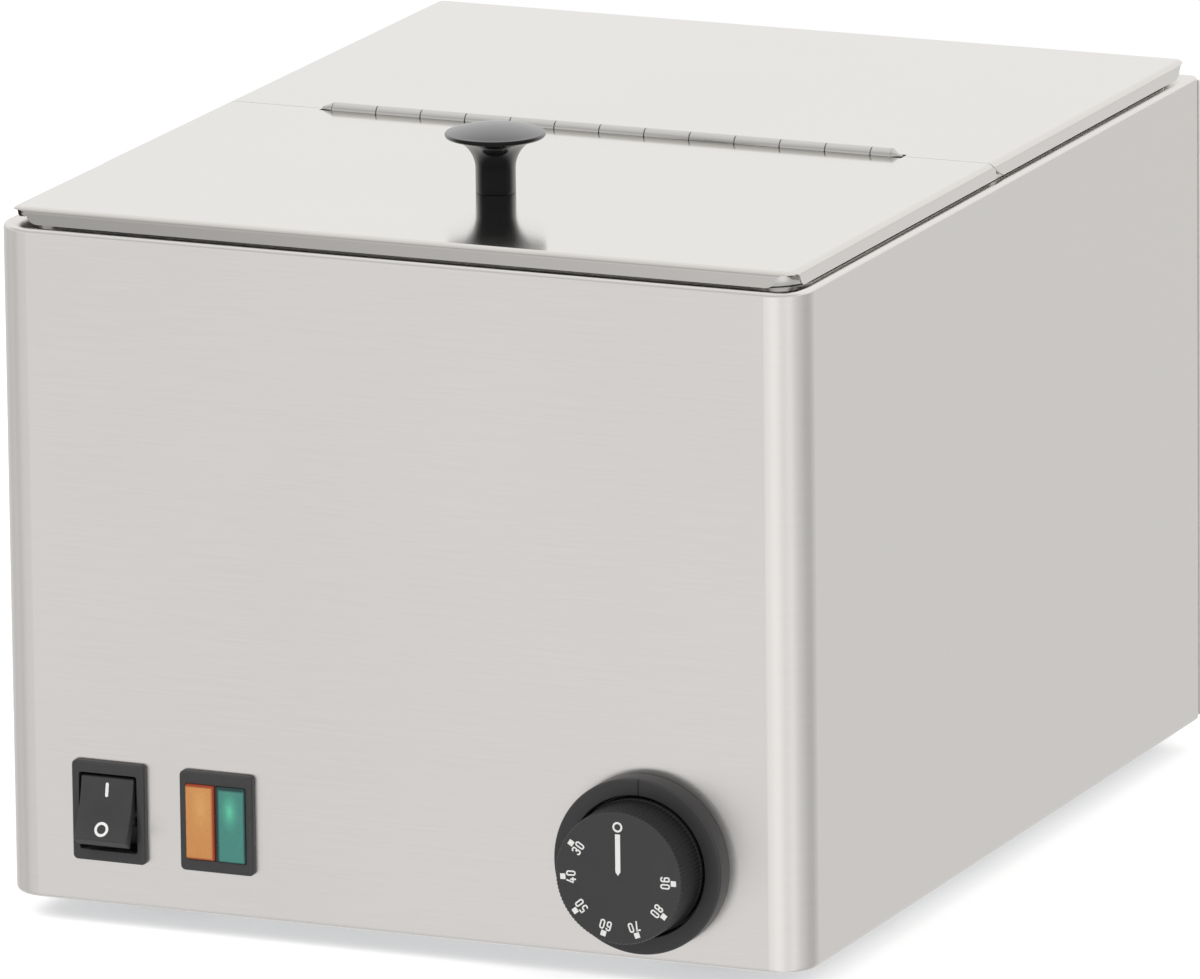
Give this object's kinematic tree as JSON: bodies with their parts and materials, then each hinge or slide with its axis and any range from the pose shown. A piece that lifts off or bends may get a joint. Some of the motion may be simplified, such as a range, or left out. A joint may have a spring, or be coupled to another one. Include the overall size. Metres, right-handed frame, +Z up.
{
  "type": "sausage warmer",
  "caption": "Countertop wet-heat warmer: steel casing with a water well, lift-out food pan, lid hinged across its middle, rocker switch, twin indicator lamp and thermostat dial.",
  "frame": {"origin": "middle of the footprint at the level of the feet's undersides", "axes": "+Z up, -Y towards the user: the front panel with the controls faces -Y, +X to the user's right"},
  "size_m": [0.276, 0.385, 0.2545],
  "materials": {
    "casing_steel": "fine satin stainless sheet",
    "lid_steel": "smooth half-gloss stainless sheet",
    "pan_steel": "smooth pressed stainless steel",
    "well_steel": "plain mill-finish stainless steel",
    "hinge_steel": "rolled stainless steel",
    "zinc_steel": "zinc-plated sheet and fasteners",
    "heater_steel": "heat-tinted tube",
    "black_gloss": "glossy black moulding",
    "black_satin": "satin black moulding",
    "black_matte": "matt black moulding",
    "amber_glass": "translucent amber lens",
    "green_glass": "translucent green lens, lit from behind",
    "bulb_glass": "clear glass bulb",
    "brass": "tinned brass",
    "rubber": "black rubber",
    "block_plastic": "pale heat-resistant moulding",
    "wire_plastic": "heat-resistant wire covering",
    "copper_tube": "drawn copper capillary"
  },
  "bodies": {
    "cabinet": {"casing": "casing_steel", "rear_panel": "casing_steel", "rear_panel_screws": "zinc_steel", "base_plate": "zinc_steel", "base_screws": "zinc_steel", "feet": "rubber", "foot_screws": "zinc_steel", "foot_nuts": "zinc_steel", "well": "well_steel", "heating_element": "heater_steel", "well_studs": "zinc_steel", "heater_clamps": "zinc_steel", "clamp_nuts": "zinc_steel", "heat_shield": "zinc_steel", "shield_nuts": "zinc_steel", "overheat_cutout": "zinc_steel", "sensor_bulb": "copper_tube", "sensor_clip": "zinc_steel", "capillary": "copper_tube", "switch_housing": "black_satin", "switch_terminals": "brass", "lamp_housing": "black_satin", "amber_lens": "amber_glass", "green_lens": "green_glass", "lamp_bulbs": "bulb_glass", "lamp_terminals": "brass", "thermostat_ring": "black_gloss", "thermostat_body": "black_matte", "thermostat_terminals": "brass", "thermostat_screws": "zinc_steel", "cable_gland": "black_matte", "gland_nut": "black_matte", "gland_locknut": "black_matte", "terminal_block": "block_plastic", "terminal_screws": "zinc_steel", "earth_stud": "brass", "earth_nut": "brass", "wiring": "wire_plastic"},
    "rocker": {"switch_rocker": "black_satin"},
    "dial": {"thermostat_knob": "black_gloss", "thermostat_spindle": "brass"},
    "pan": {"gn_pan": "pan_steel"},
    "insert": {"pan_insert": "pan_steel"},
    "rear_cover": {"rear_lid": "lid_steel", "rear_hinge_leaf": "hinge_steel", "hinge_pin": "hinge_steel"},
    "front_cover": {"front_lid": "lid_steel", "front_hinge_leaf": "hinge_steel", "lid_knob": "black_gloss", "knob_screw": "zinc_steel", "knob_washer": "zinc_steel"}
  },
  "joints": [
    {"name": "rocker_tilt", "type": "hinge", "parent": "cabinet", "child": "rocker", "pos_m": [-0.0999, -0.1705, 0.0389], "axis": [1, 0, 0], "range_deg": [0, 38]},
    {"name": "dial_turn", "type": "hinge", "parent": "cabinet", "child": "dial", "pos_m": [0.0846, -0.1705, 0.0403], "axis": [0, 1, 0], "range_deg": [0, 271]},
    {"name": "pan_lift", "type": "slide", "parent": "cabinet", "child": "pan", "axis": [0, 0, 1], "range_m": [0, 0.17]},
    {"name": "insert_lift", "type": "slide", "parent": "pan", "child": "insert", "axis": [0, 0, 1], "range_m": [0, 0.12]},
    {"name": "lid_lift", "type": "slide", "parent": "pan", "child": "rear_cover", "axis": [0, 0, 1], "range_m": [0, 0.06]},
    {"name": "lid_hinge", "type": "hinge", "parent": "rear_cover", "child": "front_cover", "pos_m": [0.0018, -0.0039, 0.2327], "axis": [-1, 0, 0], "range_deg": [0, 164]}
  ]
}
